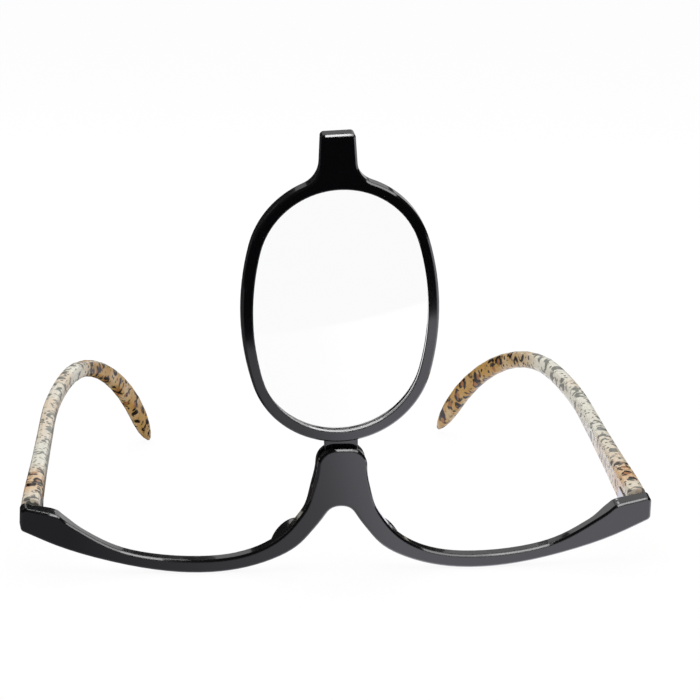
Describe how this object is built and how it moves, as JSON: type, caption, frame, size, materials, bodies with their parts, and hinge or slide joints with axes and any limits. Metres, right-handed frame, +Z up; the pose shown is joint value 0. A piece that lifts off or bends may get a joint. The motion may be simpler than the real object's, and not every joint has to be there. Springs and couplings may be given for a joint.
{
  "type": "swing lens make-up glasses",
  "caption": "Reading and make-up glasses with half rims, folding temples and a single oval magnifier lens that swings on the bridge from one eye to the other.",
  "frame": {"origin": "middle of the box of the glasses as they stand on a table, at its bottom", "axes": "+Y from the front back along the temples, +X to the right of someone who looks at the front, +Z up from the table"},
  "size_m": [0.14, 0.1616, 0.1005],
  "materials": {
    "front": "injection-moulded gloss black plastic",
    "rim": "injection-moulded gloss black plastic",
    "lens": "clear polished acrylic",
    "temple_print": "clear-lacquered spotted print on plastic",
    "steel": "plain small steel hardware",
    "brass": "turned brass",
    "washer": "thin black nylon washer"
  },
  "bodies": {
    "front": {"front_frame": "front", "pivot_screw": "steel", "pivot_insert": "brass", "pivot_front_washer": "washer", "pivot_rear_washer": "washer", "left_front_hinge": "steel", "left_hinge_screw": "steel", "left_front_hinge_screws": "steel", "right_front_hinge": "steel", "right_hinge_screw": "steel", "right_front_hinge_screws": "steel"},
    "lens": {"lens_rim": "rim", "magnifier_lens": "lens"},
    "left_arm": {"left_temple": "temple_print", "left_temple_core": "steel", "left_temple_hinge": "steel", "left_temple_hinge_screws": "steel"},
    "right_arm": {"right_temple": "temple_print", "right_temple_core": "steel", "right_temple_hinge": "steel", "right_temple_hinge_screws": "steel"}
  },
  "joints": [
    {"name": "lens_swing", "type": "hinge", "parent": "front", "child": "lens", "pos_m": [0, -0.06739, 0.02392], "axis": [0, 0.9846, 0.1751], "range_deg": [-83.2, 88.8]},
    {"name": "left_temple_fold", "type": "hinge", "parent": "front", "child": "left_arm", "pos_m": [-0.0649, -0.05683, 0.01143], "axis": [0, 0.1751, -0.9846], "range_deg": [-8.55, 77]},
    {"name": "right_temple_fold", "type": "hinge", "parent": "front", "child": "right_arm", "pos_m": [0.0649, -0.05683, 0.01143], "axis": [0, -0.1751, 0.9846], "range_deg": [-1, 73]}
  ]
}
